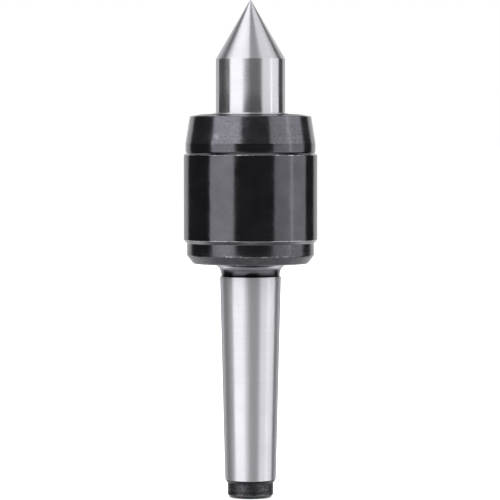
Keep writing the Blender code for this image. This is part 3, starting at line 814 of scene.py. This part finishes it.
# ---------------------------------------------------------------- front bearing
# A deep-groove ball bearing that carries the sideways load at the point: two grooved rings, a
# pressed cage of balls, and a thin sheet shield snapped into the outer ring on each side.
front_ball_count = 9
front_pitch_r = 11.75 * MM
inner_land_r = 10.25 * MM
outer_land_r = 13.35 * MM
shield_seat_r = 14.2 * MM
shield_seat_depth = 1.1 * MM
race_low, race_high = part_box("front_outer_ring")
front_row = (front_pitch_r, (race_low.z + race_high.z) / 2)

inner_ring_corners = (
    (spindle_bore_r, race_low.z, 0.5 * MM),
    (inner_land_r, race_low.z, 0.15 * MM),
    *raceway(front_row, (inner_land_r - front_pitch_r, 0.0)),
    (inner_land_r, race_high.z, 0.15 * MM),
    (spindle_bore_r, race_high.z, 0.5 * MM),
)
inner_ring = turned("inner_race", rounded_outline(inner_ring_corners, True), 160)
fitted(inner_ring, bearing_steel, "spindle", "front_inner_ring")

outer_ring_corners = (
    (shield_seat_r, race_low.z, 0.1 * MM),
    (race_high.x, race_low.z, 0.5 * MM),
    (race_high.x, race_high.z, 0.5 * MM),
    (shield_seat_r, race_high.z, 0.1 * MM),
    (shield_seat_r, race_high.z - shield_seat_depth, 0.1 * MM),
    (outer_land_r, race_high.z - shield_seat_depth, 0.1 * MM),
    *raceway(front_row, (outer_land_r - front_pitch_r, 0.0)),
    (outer_land_r, race_low.z + shield_seat_depth, 0.1 * MM),
    (shield_seat_r, race_low.z + shield_seat_depth, 0.1 * MM),
)
outer_ring = turned("outer_race", rounded_outline(outer_ring_corners, True), 200)
fitted(outer_ring, bearing_steel, "housing", "front_outer_ring")

for side in ("upper", "lower"):
    shield_low, shield_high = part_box(f"front_shield_{side}")
    shield_corners = ring_corners(
        inner_land_r + 0.2 * MM, shield_high.x, shield_low.z, shield_high.z, 0.1 * MM
    )
    shield = turned(f"sheet_shield_{side}", rounded_outline(shield_corners, True), 160)
    fitted(shield, sheet_steel, "housing", f"front_shield_{side}")

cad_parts["front_cage"].material_slots[0].material = sheet_steel
for number in range(1, front_ball_count + 1):
    set_rolling(f"front_ball_{number}", ball_outline, 40, bearing_steel)


# ---------------------------------------------------------------- spindle
# The rotating centre, hardened and ground all over: a 60 degree point, a shoulder that runs in
# the seal, a collar that the cap holds in, and journals for the three bearings.
spindle_low, spindle_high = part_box("spindle")
point_r = 10.175 * MM
point_base_z = 69.1 * MM
tip_r = 0.09 * MM
tip_drop = 0.03 * MM
shoulder_r = 11.1 * MM
shoulder_z = 53.2 * MM
collar_r = 13.0 * MM
collar_low_z = 43.0 * MM
collar_high_z = 47.5 * MM
spacer_r = 10.0 * MM
seat_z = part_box("front_inner_ring")[1].z + seat_gap
ball_journal_r = 7.3 * MM
ball_journal_low_z = 19.2 * MM
needle_journal_r = 5.0 * MM
needle_journal_top_z = 18.4 * MM
step_r = 6.9 * MM
step_z = 18.8 * MM
spindle_end_r = 4.6 * MM
spindle_end_chamfer = 0.4 * MM
rear_hole_r = 1.6 * MM

spindle_corners = (
    (0.0, spindle_low.z + rear_hole_r / math.tan(hole_half_angle), 0.0),
    (rear_hole_r, spindle_low.z, 0.05 * MM),
    (spindle_end_r, spindle_low.z, 0.1 * MM),
    (needle_journal_r, spindle_low.z + spindle_end_chamfer, 0.1 * MM),
    (needle_journal_r, needle_journal_top_z, 0.2 * MM),
    (step_r, step_z, 0.1 * MM),
    (ball_journal_r, ball_journal_low_z, 0.1 * MM),
    (ball_journal_r, seat_z, 0.15 * MM),
    (spacer_r, seat_z, 0.15 * MM),
    (spacer_r, collar_low_z, 0.3 * MM),
    (collar_r, collar_low_z, 0.3 * MM),
    (collar_r, collar_high_z, 0.3 * MM),
    (shoulder_r, collar_high_z, 0.15 * MM),
    (shoulder_r, shoulder_z, 0.3 * MM),
    (point_r, shoulder_z, 0.08 * MM),
    (point_r, point_base_z, 0.15 * MM),
    (tip_r, spindle_high.z - tip_drop, 0.05 * MM),
    (0.0, spindle_high.z, 0.0),
)
spindle = turned("spindle_point", rounded_outline(spindle_corners, False), 240)
# The part of the point next to the cap is polished by wiping.
spindle_grind = (
    (spindle_low.z, 0.24),
    (52.0 * MM, 0.17),
    (54.5 * MM, 0.17),
    (61.0 * MM, 0.24),
    (spindle_high.z, 0.24),
)
spindle_steel = ground_steel("ground_spindle", (0.73, 0.728, 0.775), 1.0, 0.5, spindle_grind, 0.6e-6)
spindle.data.materials.append(spindle_steel)
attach(spindle, "spindle")
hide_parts("spindle")


# ---------------------------------------------------------------- front cap
# A blackened steel cap screwed into the mouth. Its skirt clamps the front bearing's outer ring,
# its rim tapers to a crown that falls away outwards, and a groove in its bore holds the seal.
cap_low, cap_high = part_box("front_cap")
cap_r = cap_high.x
cap_seat_z = 41.5 * MM
cap_bore_r = 11.4 * MM
cap_roof_z = 47.8 * MM
skirt_bore_r = 14.0 * MM
skirt_r = 17.2 * MM
skirt_lead_r = 16.6 * MM
wall_edge_z = 44.2 * MM
rim_r = 17.92 * MM
rim_z = 52.3 * MM
crown_r = 14.6 * MM
crown_z = 52.8 * MM
groove_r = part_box("felt_seal")[1].x + seat_gap
groove_low_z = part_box("felt_seal")[0].z - press_gap
groove_high_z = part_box("felt_seal")[1].z + press_gap

cap_corners = (
    (skirt_bore_r, cap_low.z, 0.2 * MM),
    (skirt_lead_r, cap_low.z, 0.1 * MM),
    (skirt_r, cap_low.z + 0.6 * MM, 0.1 * MM),
    (skirt_r, cap_seat_z, 0.1 * MM),
    (cap_r, cap_seat_z, 0.35 * MM),
    (cap_r, wall_edge_z, 0.3 * MM, 0.42),
    (rim_r, rim_z, 0.3 * MM),
    (crown_r, crown_z, 4.0 * MM),
    (cap_bore_r, cap_high.z, 0.12 * MM),
    (cap_bore_r, groove_high_z, 0.05 * MM),
    (groove_r, groove_high_z, 0.05 * MM),
    (groove_r, groove_low_z, 0.05 * MM),
    (cap_bore_r, groove_low_z, 0.05 * MM),
    (cap_bore_r, cap_roof_z, 0.1 * MM),
    (skirt_bore_r, cap_roof_z, 0.5 * MM),
)
front_cap = turned("front_cap_shell", rounded_outline(cap_corners, True), 240)
# The crown keeps a thicker, duller oxide than the wall, which is handled.
cap_bands = (
    (cap_low.z, 1.0, 0.0, 0.0),
    (44.1 * MM, 1.0, 0.0, 0.0),
    (44.4 * MM, 1.05, 0.02, 0.05),
    (52.35 * MM, 1.05, 0.02, 0.05),
    (52.5 * MM, 0.3, 0.25, 0.0),
    (cap_high.z, 0.3, 0.25, 0.0),
)
# Handling has left a few scuffs on one side of the wall.
cap_scuffs = (
    (-9.6 * MM, -15.9 * MM, 46.2 * MM, 2.8 * MM),
    (-11.0 * MM, -15.3 * MM, 44.4 * MM, 2.2 * MM),
    (-7.9 * MM, -15.9 * MM, 52.6 * MM, 1.4 * MM),
)
cap_black = blackened_steel("blackened_cap", 0.125, 0.08, 0.22, 1.0e-6, cap_bands, scuffs=cap_scuffs)
front_cap.data.materials.append(cap_black)
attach(front_cap, "housing")
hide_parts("front_cap")


# ---------------------------------------------------------------- felt seal
# A ring cut from pressed wool felt and soaked in oil, sprung into the cap's groove, where it wipes
# the spindle's shoulder.
felt_low, felt_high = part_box("felt_seal")
felt_bore_r = 11.3 * MM
felt_corners = ring_corners(felt_bore_r, felt_high.x, felt_low.z, felt_high.z, 0.35 * MM)
felt_seal = turned("felt_ring", rounded_outline(felt_corners, True), 160)
felt_wool = bpy.data.materials.new("oiled_felt")
felt_wool.use_nodes = True
felt_tree = felt_wool.node_tree
felt_shader = felt_tree.nodes["Principled BSDF"]
felt_shader.inputs["Sheen Weight"].default_value = 0.3
felt_shader.inputs["Sheen Roughness"].default_value = 0.6
felt_matting = use_group(felt_tree, cloud_group, Size=900.0, Fine=0.6)
felt_fibres = use_group(felt_tree, cloud_group, Size=7000.0, Fine=0.7)
felt_tone = blend_colours(felt_tree, felt_matting, (0.13, 0.12, 0.1, 1.0), (0.27, 0.25, 0.21, 1.0))
felt_rough = maths(felt_tree, "ADD", maths(felt_tree, "MULTIPLY", felt_fibres, 0.15), 0.85)
felt_normal = bumped(felt_tree, felt_fibres, 60.0e-6, bumped(felt_tree, felt_matting, 80.0e-6))
connect(felt_tree, felt_shader, Base_Color=felt_tone, Roughness=felt_rough, Normal=felt_normal)
fitted(felt_seal, felt_wool, "housing", "felt_seal")
